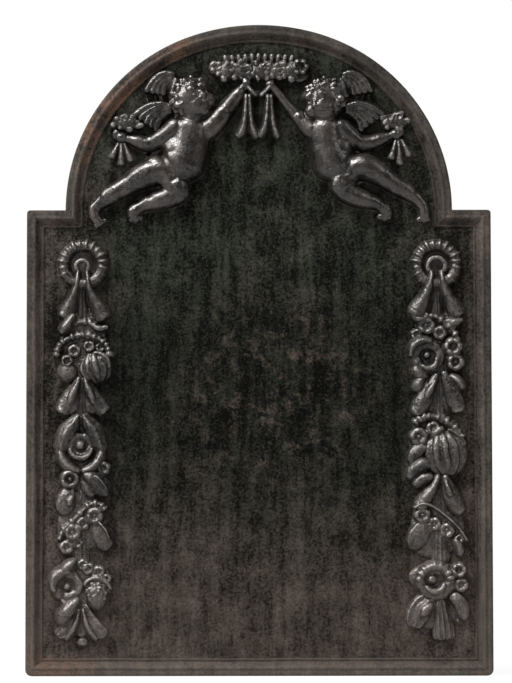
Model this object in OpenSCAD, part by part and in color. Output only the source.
// Cast-iron fireback with an arched head: a moulded border, two putti holding
// flowers under the arch, and a hanging garland of fruit and flowers down each side.
//
// The plate stands on its bottom edge. X runs across it, Z up it, and the face looks
// along -Y. The origin is the middle of the bottom of the whole piece.
// Ornaments are drawn flat, as on a carver's bench: u across, v up, w out of the face.

/* [Plate] */
// Width across the two sides
body_w = 600; // [500:10:760]
// Height of the shoulders above the hearth
shoulder_h = 600; // [480:10:760]
// Thickness of the plain field
plate_t = 16; // [10:1:30]

/* [Arched head] */
// Width of each shoulder beside the arch
shoulder_w = 50; // [30:5:80]
// How far each flank's centre stands off the centre line
flank_inset = 10; // [4:1:20]
// How much longer the crown's radius is than the flanks' radius
crown_extra = 30; // [22:1:60]

/* [Moulded border] */
// Width of the moulding, from the edge of the plate to the field
moulding_w = 23; // [20:1:30]
// Width of the flat band along the outer edge
band_w = 8; // [6:1:10]
// Height of the flat band above the field
band_h = 6.5; // [4:0.5:9]
// Radius of the band's rounded outer corner
band_round = 2.5; // [1:0.5:3]
// Radius of the bead inside the band
bead_r = 2.5; // [1.5:0.5:3]
// Radius of the small fillet next to the field
fillet_r = 1.6; // [1:0.2:2]

/* [Garlands] */
// Gap between the side moulding and a garland
garland_gap = 13; // [6:1:30]
// Gap between the shoulder moulding and a rosette
rosette_gap = 15; // [8:1:30]
// Gap between the base moulding and the last bud of a garland
bud_gap = 13; // [8:1:30]
// Number of flutes round a rosette
rosette_flutes = 20; // [14:1:24]
// Number of petals round a great rose
rose_petals = 6; // [5:1:9]

/* [Putti] */
// Gap between the arch moulding and the nearest foot or flower
figure_gap = 4; // [2:1:12]
// Number of feathers in a wing
wing_feathers = 4; // [3:1:6]

/* [Fit] */
// Gap between two ornaments that lie side by side on the plate
seam = 0.3; // [0.1:0.1:0.6]

/* [Hidden] */
iron = [0.17, 0.165, 0.16];
worn_iron = [0.25, 0.24, 0.23];

// Sizes at which each group of ornaments is drawn, before it is fitted to the plate
GARLAND_DRAWN_LEN = 526;
GARLAND_DRAWN_HALF = 36;
ROSETTE_R = 33;
FIGURE_DRAWN_REACH = 223;
FIGURE_RELIEF = 26;
GARLAND_RELIEF = 21;

arch_span = body_w - 2 * shoulder_w;
flank_r = arch_span / 2 - flank_inset;
crown_r = flank_r + crown_extra;
crown_drop = sqrt(crown_extra * crown_extra - flank_inset * flank_inset);
flank_angle = 90 - atan2(flank_inset, crown_drop);
total_h = shoulder_h + crown_r - crown_drop;

garland_len = shoulder_h - 2 * moulding_w - rosette_gap - bud_gap;
garland_k = garland_len / GARLAND_DRAWN_LEN;
garland_x = body_w / 2 - moulding_w - garland_gap - GARLAND_DRAWN_HALF * garland_k;
rosette_z = shoulder_h - moulding_w - rosette_gap - ROSETTE_R * garland_k;
figure_k = (arch_span / 2 - moulding_w - figure_gap) / FIGURE_DRAWN_REACH;

moulding_h = band_h + bead_r;
relief_h = max(moulding_h, FIGURE_RELIEF * figure_k, GARLAND_RELIEF * garland_k);
depth = plate_t + relief_h;
face_y = depth / 2 - plate_t;
far = 2 * (body_w + total_h);
eps = 0.01;

// Smoothness of the turned and swept pieces, and of the carved ones
$fn = 48;
CARVED_FN = 10;

LEFT = -1;
RIGHT = 1;

// ---------------------------------------------------------------- placing

// Lays a flat drawing on the face of the plate
module on_face() {
    translate([0, face_y, 0]) rotate([90, 0, 0]) children();
}

// Places a drawing whose origin is the centre of one garland's rosette
module on_garland(side) {
    on_face() translate([side * garland_x, rosette_z, 0]) scale(garland_k) children();
}

// Places a drawing of the right-hand putto, from the centre line at the springing of the arch
module under_arch(side) {
    on_face() translate([0, shoulder_h, 0]) scale(figure_k)
        mirror([side == LEFT ? 1 : 0, 0, 0]) children();
}

// Cuts a carving flat at the plate and brings its highest point to the height h. Over the
// plan that comes second, if there is one, it leaves room for the pieces that lie in front
module carved(h) {
    $fn = CARVED_FN;
    resize([0, 0, h]) difference() {
        children(0);
        translate([-far / 2, -far / 2, -far]) cube([far, far, far]);
        if ($children > 1) translate([0, 0, -eps]) linear_extrude(far) children(1);
    }
}

// ---------------------------------------------------------------- plate and mouldings

// A slice of a disc from the angle a to the angle b, under half a turn
module sector(r, a, b) {
    intersection() {
        circle(r);
        polygon([[0, 0], 2 * r * [cos(a), sin(a)],
            2 * r * [cos((a + b) / 2), sin((a + b) / 2)], 2 * r * [cos(b), sin(b)]]);
    }
}

module outline() {
    translate([-body_w / 2, 0]) square([body_w, shoulder_h]);
    translate([0, shoulder_h]) {
        for (side = [LEFT, RIGHT]) mirror([side == LEFT ? 1 : 0, 0])
            translate([flank_inset, 0]) sector(flank_r, 0, flank_angle);
        translate([0, -crown_drop]) sector(crown_r, flank_angle, 180 - flank_angle);
    }
}

// Section of the border, from the outer edge at t = 0 to the field, with its height up y:
// a flat band, a bead, a hollow, and a small fillet against the field
module moulding_section() {
    bead_t = band_w + bead_r;
    cove_t = bead_t + bead_r;
    fillet_t = moulding_w - fillet_r;
    cove_w = fillet_t - fillet_r - cove_t;
    cove_rise = bead_r * 0.6;
    cove_r = norm([cove_w, cove_rise]);
    cove_floor = band_h + cove_rise - cove_r;
    translate([band_round, 0]) square([band_w + bead_r - band_round, band_h]);
    square([band_w, band_h - band_round]);
    translate([band_round, band_h - band_round]) circle(band_round);
    translate([bead_t, band_h]) circle(bead_r);
    difference() {
        translate([bead_t, 0]) square([fillet_t - bead_t, band_h]);
        translate([cove_t + cove_w, band_h + cove_rise]) circle(cove_r);
        translate([cove_t + cove_w, cove_floor]) square([fillet_r * 2, band_h]);
    }
    intersection() {
        translate([fillet_t, cove_floor]) circle(fillet_r);
        translate([fillet_t - fillet_r, 0]) square(2 * fillet_r + cove_floor);
    }
}

// A straight length of moulding over a plan drawn in u and v, where the outer edge of the
// plate is the u axis and the field lies above it
module straight_moulding(plan) {
    intersection() {
        translate([-far / 4, 0, 0]) rotate([90, 0, 90]) linear_extrude(far / 2) moulding_section();
        linear_extrude(far / 4) polygon(plan);
    }
}

// A curved length, with its outer edge on the radius r, from the angle a to the angle b
module curved_moulding(r, a, b) {
    rotate([0, 0, a]) rotate_extrude(angle = b - a) translate([r, 0]) mirror([1, 0])
        moulding_section();
}

module plate() color(iron) on_face() translate([0, 0, -plate_t]) linear_extrude(plate_t) outline();

module base_moulding() color(iron) on_face() {
    half = body_w / 2;
    straight_moulding([[-half, 0], [half, 0], [half - moulding_w, moulding_w],
        [moulding_w - half, moulding_w]]);
}

module side_moulding(side) color(iron) on_face() mirror([side == LEFT ? 1 : 0, 0, 0])
    translate([body_w / 2, 0, 0]) rotate([0, 0, 90])
        straight_moulding([[0, 0], [shoulder_h, 0], [shoulder_h - moulding_w, moulding_w],
            [moulding_w, moulding_w]]);

module shoulder_moulding(side) color(iron) on_face() mirror([side == LEFT ? 1 : 0, 0, 0])
    translate([body_w / 2, shoulder_h, 0]) rotate([0, 0, 180]) {
        run = (body_w - arch_span) / 2;
        straight_moulding([[0, 0], [run, 0], [run + moulding_w, moulding_w],
            [moulding_w, moulding_w]]);
    }

// One flank of the arch, with the short mitred foot that meets the shoulder
module arch_moulding(side) color(iron) on_face() mirror([side == LEFT ? 1 : 0, 0, 0])
    translate([0, shoulder_h, 0]) {
        translate([flank_inset, 0, 0]) curved_moulding(flank_r, 0, flank_angle);
        translate([arch_span / 2, 0, 0]) rotate([0, 0, 90])
            straight_moulding([[0, 0], [0, moulding_w], [-moulding_w, moulding_w]]);
    }

module crown_moulding() color(iron) on_face() translate([0, shoulder_h - crown_drop, 0])
    curved_moulding(crown_r, flank_angle, 180 - flank_angle);

// ---------------------------------------------------------------- carved forms

// A closed form lofted through sections that each start and end on the plate
module loft(sections) {
    rows = len(sections);
    n = len(sections[0]);
    polyhedron(
        points = [for (s = sections) each s],
        faces = [
            for (j = [0 : rows - 2], i = [0 : n - 1]) let (a = j * n, b = a + n)
                [b + i, b + (i + 1) % n, a + (i + 1) % n, a + i],
            [for (i = [0 : n - 1]) i],
            [for (i = [n - 1 : -1 : 0]) (rows - 1) * n + i]
        ],
        convexity = 6);
}

// The point at a share t of the way from a to b on a curve that swings sideways by bend
function along(a, b, bend, t) = let (d = b - a)
    a + t * d + [d[1], -d[0]] / norm(d) * bend * 4 * t * (1 - t);

// Swelling from 0 at one end to 1 at the belly, and back to 0
function swell(t, belly) = sin(180 * pow(t, ln(0.5) / ln(belly)));

LEAF_ROWS = 5;
LEAF_COLUMNS = 4;
LEAF_TIP = 0.04;
LEAF_SUNK = -1;
LEAF_BLUNT = 0.7;
LEAF_END_RISE = 0.3;

// A leaf from a to b. belly is where it is widest, bend its sideways swing, and vein the
// depth of the groove along its middle, as a share of its height
module leaf(a, b, half_w, h, belly = 0.6, bend = 0, vein = 0.4, rows = LEAF_ROWS) {
    loft([for (j = [0 : rows - 1])
        let (
            t = LEAF_TIP + (1 - 2 * LEAF_TIP) * j / (rows - 1),
            p = along(a, b, bend, t),
            step = along(a, b, bend, t + LEAF_TIP / 2) - p,
            across = [step[1], -step[0]] / norm(step),
            grown = pow(swell(t, belly), LEAF_BLUNT))
        [for (i = [0 : LEAF_COLUMNS])
            let (s = 2 * i / LEAF_COLUMNS - 1,
                rise = sqrt(1 - s * s) * (1 - vein * max(0, 1 - 3 * abs(s))),
                q = p + across * s * half_w * grown)
            [q[0], q[1], LEAF_SUNK
                + (h - LEAF_SUNK) * (LEAF_END_RISE + (1 - LEAF_END_RISE) * grown) * rise]]]);
}

// A round form: rings of points about a middle point, the last ring carried down below the face
module turned(middle, rings) {
    m = len(rings);
    n = len(rings[0]);
    foot = 1 + m * n;
    polyhedron(
        points = concat([middle], [for (r = rings) each r],
            [for (p = rings[m - 1]) [p[0], p[1], LEAF_SUNK]], [[middle[0], middle[1], LEAF_SUNK]]),
        faces = [
            for (i = [0 : n - 1]) [0, 1 + (i + 1) % n, 1 + i],
            for (j = [0 : m - 1], i = [0 : n - 1]) let (a = 1 + j * n, b = a + n)
                [a + i, a + (i + 1) % n, b + (i + 1) % n, b + i],
            for (i = [0 : n - 1]) [foot + n, foot + i, foot + (i + 1) % n]
        ],
        convexity = 8);
}

// A flower drawn in rings. Each ring is [share of the radius, share of the height, depth of the
// notches between petals], and the first ring is the middle point
module flower(at, size, h, petals, rings, steps = 3, turn = 0) {
    n = petals * steps;
    translate([at[0], at[1], 0]) rotate([0, 0, turn])
        turned([0, 0, h * rings[0][1]], [for (k = [1 : len(rings) - 1]) [for (i = [0 : n - 1])
            let (angle = 360 * i / n,
                notch = rings[k][2] * (1 + cos(petals * angle)) / 2,
                r = rings[k][0] - notch)
            [size[0] * r * cos(angle), size[1] * r * sin(angle), h * (rings[k][1] - notch)]]]);
}

ROSE_RINGS = [[0, 0.8, 0], [0.16, 0.64, 0], [0.27, 0.3, 0], [0.42, 0.8, 0], [0.54, 0.56, 0.03],
    [0.78, 1, 0.1], [1, 0.25, 0.1]];
BLOSSOM_RINGS = [[0, 1, 0], [0.32, 0.5, 0], [0.72, 0.9, 0.12], [1, 0.3, 0.14]];
APPLE_RINGS = [[0, 0.72, 0], [0.3, 0.98, 0], [0.65, 0.9, 0], [0.9, 0.55, 0], [1, 0.2, 0]];
ROSETTE_RINGS = [[0, 0.3, 0], [0.5, 0.22, 0], [0.72, 1, 0.08], [1, 0.3, 0.1]];
BLOSSOM_FULL_R = 8;

module rose(at, r, h, petals = rose_petals) flower(at, [r, r], h, petals, ROSE_RINGS, 3);

// A cluster of small five-petalled flowers, listed as [u, v, radius]. One smaller than
// BLOSSOM_FULL_R is lower too
module blossoms(list, h) {
    for (b = list)
        flower(b, [b[2], b[2]], h * min(1, b[2] / BLOSSOM_FULL_R), 5, BLOSSOM_RINGS, 2, b[0] * 7);
}

// Part of a round form laid on the plate: an oval of half widths a and b that rises c
module oval_ball(at, a, b, c, turn = 0) {
    translate([at[0], at[1], 0]) rotate([0, 0, turn]) scale([a, b, c]) sphere(1);
}

MELON_RIBS = 5;
RIB_SPREAD = 0.84;
RIB_HALF = 1.5 / MELON_RIBS;

// A melon with ribs along its length: [u, v, half width, half length, turn], c high
module melon(m, c) {
    translate([m[0], m[1], 0]) rotate([0, 0, m[4]]) for (i = [0 : MELON_RIBS - 1])
        let (s = 2 * (i + 0.5) / MELON_RIBS - 1, reach = sqrt(1 - s * s))
            translate([m[2] * RIB_SPREAD * s, 0, 0])
                scale([m[2] * RIB_HALF, m[3] * (0.35 + 0.65 * reach), c * (0.4 + 0.6 * reach)])
                    sphere(1, $fn = 8);
}

// The radius of a circle that takes in a round carving of radius r, with the seam round it
function outside(r) = r / cos(180 / CARVED_FN) + seam;

// The plan of a list of round pieces, with a seam of clear ground round them: [u, v, radius] or
// [u, v, half width, half length, turn]
module plan(list) {
    for (p = list) translate([p[0], p[1]]) rotate([0, 0, len(p) > 4 ? p[4] : 0])
        scale([outside(p[2]), outside(len(p) > 3 ? p[3] : p[2])]) circle(1);
}

RUFFLE_STEPS = 4;

// A narrow ruffle that arches over a group of fruit or flowers: [from, to, half width, swing]
module ruffle(r, h) {
    leaf(r[0], r[1], r[2], h, 0.5, r[3], 0);
}

module ruffle_plan(r) {
    for (j = [0 : RUFFLE_STEPS - 1]) hull() for (k = [j, j + 1])
        translate(along(r[0], r[1], r[3], k / RUFFLE_STEPS)) circle(outside(r[2]));
}

// ---------------------------------------------------------------- garlands

ROSETTE_NOTCH = 31;
ROSETTE_H = 15;
RING_R = 9.5;
RING_TUBE = 2.8;
RING_SPAN = 210;

// The part of a rosette's plan that the hanging leaves pass through, widened by grow
module rosette_notch(grow) {
    offset(delta = grow) polygon([[0, 0], 2 * ROSETTE_R * [-sin(ROSETTE_NOTCH), -cos(ROSETTE_NOTCH)],
        2 * ROSETTE_R * [sin(ROSETTE_NOTCH), -cos(ROSETTE_NOTCH)]]);
    circle(RING_R / 2);
}

// A fluted ring of petals round a hollow with the arch of a hanging ring in it, open below
// where the garland hangs out
module rosette(side) color(worn_iron) on_garland(side) carved(ROSETTE_H) union() {
    difference() {
        flower([0, 0], [ROSETTE_R, ROSETTE_R], ROSETTE_H, rosette_flutes, ROSETTE_RINGS, 2, 2);
        linear_extrude(far) rosette_notch(0);
    }
    translate([0, 0, RING_TUBE]) rotate([0, 0, 90 - RING_SPAN / 2])
        rotate_extrude(angle = RING_SPAN, $fn = 12) translate([RING_R, 0])
            circle(RING_TUBE, $fn = 5);
}

// What is left clear for the rosette by the leaves that hang from it
module rosette_ground() {
    difference() {
        circle(outside(ROSETTE_R));
        rosette_notch(-seam);
    }
}

LEFT_RUFFLE = [[-31, -118], [33, -118], 6, -18];
LEFT_HIGH_BLOSSOM = [-9, -114, 7.5];
LEFT_APPLE = [-18, -138, 14.5];
LEFT_MELON = [17, -131, 18.5, 23, 12];
LEFT_GREAT_ROSE = [-1, -233, 34.5];
LEFT_BUD = [27, -265, 7.5];
LEFT_SPIRAL = [-16, -278, 12];
LEFT_BLOSSOMS = [[16, -325, 11], [1, -336, 9], [-12, -347, 10.5], [-18, -365, 9]];
LEFT_LOW_ROSE = [-16, -410, 20.5];
LEFT_LOW_BLOSSOM = [13, -392, 11];
LEFT_CONE = [21, -426, 15, 22];
LEFT_LAST_BUD = [2, -486, 7];

module left_drop_leaves() color(worn_iron) on_garland(LEFT) carved(14) {
    union() {
        leaf([-1, -3], [-28, -76], 13, 12, 0.76, 6, 0.3);
        leaf([2, -3], [31, -82], 13, 14, 0.76, -6, 0.3);
        leaf([-7, -58], [-32, -102], 10, 10, 0.62, 5, 0.2);
        leaf([1, -12], [3, -100], 8, 8, 0.6);
    }
    union() {
        rosette_ground();
        ruffle_plan(LEFT_RUFFLE);
        plan([LEFT_HIGH_BLOSSOM]);
    }
}

module left_fruit() color(worn_iron) on_garland(LEFT) carved(19) union() {
    flower(LEFT_APPLE, [LEFT_APPLE[2], LEFT_APPLE[2]], 15, 5, APPLE_RINGS);
    melon(LEFT_MELON, 19);
    ruffle(LEFT_RUFFLE, 10);
    blossoms([LEFT_HIGH_BLOSSOM], 11);
}

module left_fruit_leaves() color(worn_iron) on_garland(LEFT) carved(13) {
    union() {
        leaf([0, -144], [-31, -202], 12.5, 12, 0.62, 6);
        leaf([2, -144], [35, -202], 12.5, 13, 0.62, -6);
        leaf([1, -148], [1, -210], 8, 8, 0.6);
    }
    plan([LEFT_APPLE, LEFT_MELON, LEFT_GREAT_ROSE]);
}

module left_great_rose() color(worn_iron) on_garland(LEFT) carved(18)
    rose(LEFT_GREAT_ROSE, LEFT_GREAT_ROSE[2], 18);

module left_rosebuds() color(worn_iron) on_garland(LEFT) carved(14) {
    union() {
        blossoms([LEFT_BUD], 11);
        flower(LEFT_SPIRAL, [LEFT_SPIRAL[2], LEFT_SPIRAL[2]], 12, 3, ROSE_RINGS, 3, 40);
        leaf([5, -262], [38, -312], 10.5, 14, 0.58, -4);
        leaf([-2, -282], [-31, -334], 14, 12, 0.62, 8);
        leaf([-1, -266], [-1, -338], 9, 9, 0.5, 0, 0.4, 4);
    }
    plan(concat([LEFT_GREAT_ROSE], LEFT_BLOSSOMS));
}

module left_blossoms() color(worn_iron) on_garland(LEFT) carved(12) {
    union() {
        blossoms(LEFT_BLOSSOMS, 12);
        leaf([6, -332], [33, -382], 11, 12, 0.6, -5);
        leaf([2, -340], [1, -396], 10, 9, 0.5);
    }
    plan([LEFT_LOW_ROSE, LEFT_LOW_BLOSSOM]);
}

module left_low_rose() color(worn_iron) on_garland(LEFT) carved(17) union() {
    rose(LEFT_LOW_ROSE, LEFT_LOW_ROSE[2], 17, rose_petals - 1);
    blossoms([LEFT_LOW_BLOSSOM], 12);
}

SCALE_ROWS = 3;
SCALE_R = 5;
CONE_CORE_H = 13;

// A cone of scales in rows that close in towards both ends
module left_pine_cone() color(worn_iron) on_garland(LEFT) carved(16) {
    union() {
        a = LEFT_CONE[2] - SCALE_R / 2;
        b = LEFT_CONE[3] - SCALE_R / 2;
        oval_ball(LEFT_CONE, a, b, CONE_CORE_H);
        for (row = [-1 : SCALE_ROWS - 2], i = [-1 : 1]) let (
            v = row * b / 2,
            wide = sqrt(1 - pow(v / b, 2)),
            side = (i + (row == 0 ? 0 : 0.5)) / 1.8)
            if (abs(side) < 0.8) translate([LEFT_CONE[0] + a * wide * side, LEFT_CONE[1] + v,
                CONE_CORE_H * wide * sqrt(1 - side * side)]) sphere(SCALE_R, $fn = 5);
    }
    plan([LEFT_LOW_ROSE, LEFT_LOW_BLOSSOM]);
}

module left_tail_leaves() color(worn_iron) on_garland(LEFT) carved(14) {
    union() {
        leaf([-2, -424], [-35, -476], 14, 14, 0.62, 8);
        leaf([-2, -434], [-17, -491], 10, 11, 0.62, 3);
        leaf([6, -436], [37, -484], 12.5, 14, 0.62, -6);
        leaf([4, -440], [22, -491], 10, 11, 0.62, -3);
        leaf([1, -424], [2, -484], 9, 8, 0.5);
        blossoms([LEFT_LAST_BUD], 9);
    }
    plan([LEFT_LOW_ROSE, LEFT_CONE]);
}

RIGHT_HIGH_BLOSSOMS = [[-12, -80, 10.5], [5, -90, 9], [-24, -92, 6.5]];
RIGHT_HIGH_RUFFLE = [[2, -76], [34, -100], 5, -3];
RIGHT_HIGH_ROSE = [-13, -119, 21.5];
RIGHT_ROUND_FLOWERS = [[21, -108, 12.5], [22, -129, 11.5]];
RIGHT_MELON = [12, -246, 25.5, 31.5, 14];
RIGHT_MELON_BLOSSOMS = [[-22, -226, 11], [-5, -213, 9]];
RIGHT_MELON_RUFFLE = [[-12, -206], [37, -222], 5.5, -8];
RIGHT_BLOSSOMS = [[-17, -325, 10], [-3, -338, 9], [12, -342, 10], [28, -351, 7.5]];
RIGHT_LOW_ROSE = [-4, -407, 27.5];
RIGHT_LOW_BLOSSOMS = [[28, -393, 9.5], [31, -412, 8.5]];

module right_drop_leaves() color(worn_iron) on_garland(RIGHT) carved(14) {
    union() {
        leaf([-1, -3], [-31, -74], 14, 13, 0.76, 6, 0.3);
        leaf([1, -3], [34, -76], 14, 14, 0.76, -6, 0.3);
        leaf([0, -12], [0, -84], 8, 8, 0.6);
    }
    union() {
        rosette_ground();
        plan(RIGHT_HIGH_BLOSSOMS);
        ruffle_plan(RIGHT_HIGH_RUFFLE);
    }
}

module right_high_rose() color(worn_iron) on_garland(RIGHT) carved(17) union() {
    rose(RIGHT_HIGH_ROSE, RIGHT_HIGH_ROSE[2], 17);
    blossoms(RIGHT_HIGH_BLOSSOMS, 11);
    ruffle(RIGHT_HIGH_RUFFLE, 9);
    for (b = RIGHT_ROUND_FLOWERS) flower(b, [b[2], b[2]], 13, 5, BLOSSOM_RINGS, 2);
}

module right_tulip_leaves() color(worn_iron) on_garland(RIGHT) carved(14) {
    union() {
        leaf([-1, -136], [-34, -207], 13, 13, 0.62, 7);
        leaf([5, -134], [35, -200], 12, 14, 0.6, -6);
        leaf([-6, -142], [-29, -172], 8, 9, 0.6, 4, 0.2);
        leaf([14, -138], [35, -174], 8, 9, 0.6, -4, 0.2);
        leaf([1, -134], [1, -212], 8, 9, 0.5);
    }
    union() {
        plan(concat([RIGHT_HIGH_ROSE, RIGHT_MELON], RIGHT_ROUND_FLOWERS, RIGHT_MELON_BLOSSOMS));
        ruffle_plan(RIGHT_MELON_RUFFLE);
    }
}

module right_melon() color(worn_iron) on_garland(RIGHT) carved(21) union() {
    melon(RIGHT_MELON, 21);
    ruffle(RIGHT_MELON_RUFFLE, 10);
    blossoms(RIGHT_MELON_BLOSSOMS, 11);
}

module right_melon_leaves() color(worn_iron) on_garland(RIGHT) carved(12) {
    union() {
        leaf([-6, -232], [-35, -262], 10, 11, 0.6, 4);
        leaf([-4, -250], [-36, -298], 11, 12, 0.6, 6);
    }
    plan(concat([RIGHT_MELON], RIGHT_MELON_BLOSSOMS));
}

module right_low_husk() color(worn_iron) on_garland(RIGHT) carved(14) {
    union() {
        leaf([5, -268], [-27, -324], 12, 13, 0.66, 6);
        leaf([8, -268], [36, -334], 13, 14, 0.66, -7);
        leaf([7, -270], [7, -344], 8, 9, 0.5);
    }
    union() {
        plan(concat([RIGHT_MELON], RIGHT_BLOSSOMS));
        plan([[-24, -282, 14, 15]]);
    }
}

module right_blossoms() color(worn_iron) on_garland(RIGHT) carved(12) {
    union() {
        blossoms(RIGHT_BLOSSOMS, 12);
        leaf([-2, -332], [-32, -380], 12, 12, 0.6, 6);
        leaf([12, -340], [24, -382], 8, 10, 0.6, -4);
        leaf([7, -340], [5, -388], 9, 9, 0.5);
    }
    plan(concat([RIGHT_LOW_ROSE], RIGHT_LOW_BLOSSOMS));
}

module right_low_rose() color(worn_iron) on_garland(RIGHT) carved(19) union() {
    rose(RIGHT_LOW_ROSE, RIGHT_LOW_ROSE[2], 19);
    blossoms(RIGHT_LOW_BLOSSOMS, 11);
}

module right_tail_leaves() color(worn_iron) on_garland(RIGHT) carved(14) {
    union() {
        leaf([-2, -422], [-34, -480], 15, 14, 0.66, 8);
        leaf([14, -420], [36, -464], 10, 11, 0.6, -6);
        leaf([3, -424], [-6, -491], 8, 12, 0.7, 0, 0, 4);
        leaf([6, -424], [8, -493], 8, 13, 0.7, 0, 0, 4);
        leaf([9, -424], [22, -490], 8, 12, 0.7, 0, 0, 4);
    }
    plan(concat([RIGHT_LOW_ROSE], RIGHT_LOW_BLOSSOMS));
}

// ---------------------------------------------------------------- figures
// Each figure is drawn on the right, from the centre line and the springing of the arch.
// A joint of the body is [u, v, w, radius].

function head(side) = side == LEFT ? [87, 145, 3, 25] : [86, 144, 3, 25];

function torso(side) = side == LEFT
    ? [[87, 95, 2, 24], [91, 78, 2, 22], [96, 61, 3, 25.5], [126, 55, 2, 19]]
    : [[86, 95, 2, 23.5], [91, 78, 2, 21.5], [96, 61, 3, 24.5], [125, 57, 2, 18.5]];

function raised_arm(side) = side == LEFT
    ? [[68, 103, 4, 15], [46, 126, 4, 12.5], [37, 137, 4, 10.5], [27, 150, 4, 9.5], [19, 160, 4, 7]]
    : [[68, 103, 4, 13.5], [53, 119, 4, 9.5], [39, 134, 4, 7.5], [27, 149, 4, 7], [18, 160, 4, 6]];

function lowered_arm(side) = side == LEFT
    ? [[108, 107, 3, 13.5], [122, 95, 3, 12.5], [142, 87, 4, 10.5], [158, 89, 4, 8.5], [172, 93, 4, 7]]
    : [[107, 107, 3, 13], [120, 95, 3, 12], [140, 87, 4, 10.5], [156, 91, 4, 8.5], [171, 96, 4, 7]];

function outer_leg(side) = side == LEFT
    ? [[134, 52, 4, 18.5], [155, 41, 4, 16.5], [178, 27, 4, 12.5], [194, 17, 4, 12.5], [209, 5, 3, 8]]
    : [[132, 56, 4, 18.5], [153, 49, 4, 16.5], [175, 33, 4, 12.5], [190, 25, 4, 12], [208, 10, 3, 8]];

function bent_thigh(side) = side == LEFT
    ? [[121, 48, 3, 17], [106, 30, 5, 17]]
    : [[118, 48, 3, 17], [107, 32, 5, 16.5]];

function bent_calf(side) = side == LEFT
    ? [[103, 25, 5, 15.5], [120, 15, 5, 14], [136, 10, 5, 12], [151, 5, 3, 8]]
    : [[106, 27, 5, 15], [123, 17, 5, 14], [139, 12, 5, 12], [156, 5, 3, 8]];

function outer_foot(side) = side == LEFT
    ? [[213, 1, 3, 8], [211, -8, 3, 8.5], [203, -19, 2, 7]]
    : [[212, 5, 3, 8], [214, -5, 3, 8.5], [213, -17, 2, 7]];

function bent_foot(side) = side == LEFT
    ? [[154, 3, 3, 8], [160, -5, 3, 8.5], [157, -15, 2, 7]]
    : [[159, 3, 3, 8], [164, -4, 3, 8.5], [162, -14, 2, 7]];

function hand(side) = side == LEFT ? [180, 95, 4, 8.5] : [179, 99, 4, 8.5];

function limbs(side) = [raised_arm(side), lowered_arm(side), outer_leg(side), bent_thigh(side),
    bent_calf(side), outer_foot(side), bent_foot(side)];

CURLS = 7;
CURL_R = 7.5;
CURL_RING = 22.5;
CURLS_FROM = -60;
CURLS_SPAN = 215;

// Hair stands round the outer side and the top of the head
function curls(side) = [for (i = [0 : CURLS - 1])
    let (angle = CURLS_FROM + CURLS_SPAN * i / (CURLS - 1))
    [head(side)[0] + CURL_RING * cos(angle), head(side)[1] + CURL_RING * sin(angle), 8, CURL_R]];

module ball(p) {
    translate([p[0], p[1], p[2]]) sphere(p[3]);
}

LIMB_SIDES = 8;
LIMB_END_R = 0.55;
LIMB_END_OUT = 0.8;

// The way the limb runs at its joint i
function heading(joints, i) = let (
    last = len(joints) - 1,
    d = joints[min(i + 1, last)] - joints[max(i - 1, 0)])
    [d[0], d[1]] / norm([d[0], d[1]]);

// A ring of points round the limb at the joint j, across the way it runs
function limb_ring(j, way, r) = [for (i = [0 : LIMB_SIDES - 1])
    let (angle = 360 * i / LIMB_SIDES)
    [j[0] - way[1] * r * cos(angle), j[1] + way[0] * r * cos(angle), j[2] + r * sin(angle)]];

// A limb lofted through its joints, with rounded ends
module limb(joints) {
    last = len(joints) - 1;
    first_way = heading(joints, 0);
    last_way = heading(joints, last);
    first_r = joints[0][3];
    last_r = joints[last][3];
    first_end = joints[0] - [first_way[0], first_way[1], 0, 0] * first_r * LIMB_END_OUT;
    last_end = joints[last] + [last_way[0], last_way[1], 0, 0] * last_r * LIMB_END_OUT;
    loft(concat(
        [limb_ring(first_end, first_way, first_r * LIMB_END_R)],
        [for (i = [0 : last]) limb_ring(joints[i], heading(joints, i), joints[i][3])],
        [limb_ring(last_end, last_way, last_r * LIMB_END_R)]));
}

// The plan of a limb, with a seam of clear ground round it
module limb_plan(joints) {
    for (i = [0 : len(joints) - 2]) hull() for (p = [joints[i], joints[i + 1]])
        translate([p[0], p[1]]) circle(outside(p[3]));
}

// The plan of the head and its curls
module head_plan(side) {
    translate([head(side)[0], head(side)[1]]) circle(outside(CURL_RING + CURL_R));
}

// The plan of the arm and hand that hold out the posy
module lowered_arm_plan(side) {
    limb_plan(concat(lowered_arm(side), [hand(side)]));
}

// A plump child in flight, one arm raised to the bouquet and the other held out with a posy
module putto(side) color(worn_iron) under_arch(side) carved(FIGURE_RELIEF) union() {
    for (i = [0 : len(torso(side)) - 2]) hull() {
        ball(torso(side)[i]);
        ball(torso(side)[i + 1]);
    }
    for (l = limbs(side)) limb(l);
    hull() {
        ball(torso(side)[0] + [0, 10, 0, -8]);
        ball(head(side) - [0, 12, 0, 12]);
    }
    ball(hand(side));
    ball(head(side));
    for (c = curls(side)) ball(c, $fn = 6);
    face = head(side) + [-9, -6, 19, -18];
    for (bump = [[-4, 0, 1, -4], [-8, -6, -3, 1], [5, -7, -2, 1], [-3, -13, -4, -1]])
        ball(face + bump, $fn = 6);
}

// Two wings on each figure, as fans of long feathers
module wings(side) color(worn_iron) under_arch(side) carved(13) {
    union() {
        for (i = [0 : wing_feathers - 1]) let (t = i / max(1, wing_feathers - 1))
            leaf([106, 168 - 4 * t], [148 - 28 * t, 150 - 2 * t], 5, 12 - 3 * t, 0.6, 13 - 7 * t, 0, 5);
        for (i = [0 : wing_feathers]) let (t = i / wing_feathers)
            leaf([106, 130 - 8 * t], [166 - 36 * t, 130 - 20 * t], 5, 12 - 2 * t, 0.64, -9 + 6 * t, 0, 5);
    }
    union() {
        head_plan(side);
        limb_plan(torso(side));
        lowered_arm_plan(side);
    }
}

POSY = [[174, 116, 8.5], [160, 114, 7], [185, 109, 6.5]];
POSY_SHIFT = [1, 1, 0];

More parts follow.
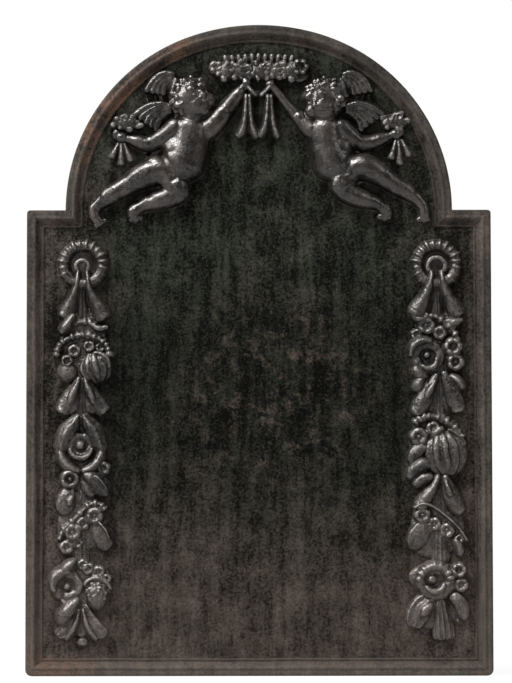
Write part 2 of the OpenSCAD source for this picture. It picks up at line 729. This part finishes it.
module posy(side) color(worn_iron) under_arch(side) carved(14) {
    blossoms(side == LEFT ? POSY : [for (b = POSY) b + POSY_SHIFT], 14);
    union() {
        lowered_arm_plan(side);
        wing_ground(side);
    }
}

// The strip between the lower wing and the posy
module wing_ground(side) {
    translate([100, 96]) square([side == LEFT ? 50 : 54, 60]);
}

module posy_leaves(side) color(worn_iron) under_arch(side) carved(10) {
    top = hand(side) - [0, 2, 0, 0];
    union() for (tip = [[-13, -30], [1, -37], [15, -29]])
        leaf([top[0], top[1]], [top[0] + tip[0], top[1] + tip[1]], 5, 9, 0.7, -tip[0] / 4, 0.4, 5);
    lowered_arm_plan(side);
}

BOUQUET = [[13, 181, 9.5], [30, 189, 8.5], [46, 181, 12], [29, 173, 7.5]];
BOUQUET_SHIFT = [5, 1, 0];
BOUQUET_H = 16;
UPRIGHTS = 4;

// One half of the bouquet at the crown, with a row of small upright leaves behind the flowers
module bouquet(side) color(worn_iron) under_arch(side) carved(BOUQUET_H) {
    union() {
        blossoms(side == LEFT ? BOUQUET : [for (b = BOUQUET) b + BOUQUET_SHIFT], BOUQUET_H);
        for (i = [0 : UPRIGHTS - 1])
            leaf([9 + 9 * i, 188], [8 + 12 * i, 208 - 0.5 * i], 5, 9, 0.6, 0, 0, 4);
    }
    union() {
        limb_plan(raised_arm(side));
        translate([-far, 0]) square([far + seam, far]);
    }
}

// The stems and leaves of the bouquet, which hang from the two raised hands
module bouquet_stems(side) color(worn_iron) under_arch(side) carved(11) {
    union() {
        leaf([15, 157], [side == LEFT ? 28 : 24, 92], 6.5, 11, 0.8, -5, 0.3);
        leaf([14, 157], [side == LEFT ? 5 : 7, 97], 6.5, 11, 0.8, 3, 0.3);
        leaf([12, 160], [2, 143], 3.5, 8, 0.5, 0, 0, 4);
    }
    union() {
        limb_plan(raised_arm(side));
        translate([-far, 0]) square([far + seam, far]);
    }
}

plate();
base_moulding();
side_moulding(LEFT);  // left_side_moulding
side_moulding(RIGHT);  // right_side_moulding
shoulder_moulding(LEFT);  // left_shoulder_moulding
shoulder_moulding(RIGHT);  // right_shoulder_moulding
arch_moulding(LEFT);  // left_arch_moulding
arch_moulding(RIGHT);  // right_arch_moulding
crown_moulding();
putto(LEFT);  // left_putto
putto(RIGHT);  // right_putto
wings(LEFT);  // left_wings
wings(RIGHT);  // right_wings
bouquet(LEFT);  // left_bouquet
bouquet(RIGHT);  // right_bouquet
bouquet_stems(LEFT);  // left_bouquet_stems
bouquet_stems(RIGHT);  // right_bouquet_stems
posy(LEFT);  // left_posy
posy(RIGHT);  // right_posy
posy_leaves(LEFT);  // left_posy_leaves
posy_leaves(RIGHT);  // right_posy_leaves
rosette(LEFT);  // left_rosette
left_drop_leaves();
left_fruit();
left_fruit_leaves();
left_great_rose();
left_rosebuds();
left_blossoms();
left_low_rose();
left_pine_cone();
left_tail_leaves();
rosette(RIGHT);  // right_rosette
right_drop_leaves();
right_high_rose();
right_tulip_leaves();
right_melon();
right_melon_leaves();
right_low_husk();
right_blossoms();
right_low_rose();
right_tail_leaves();
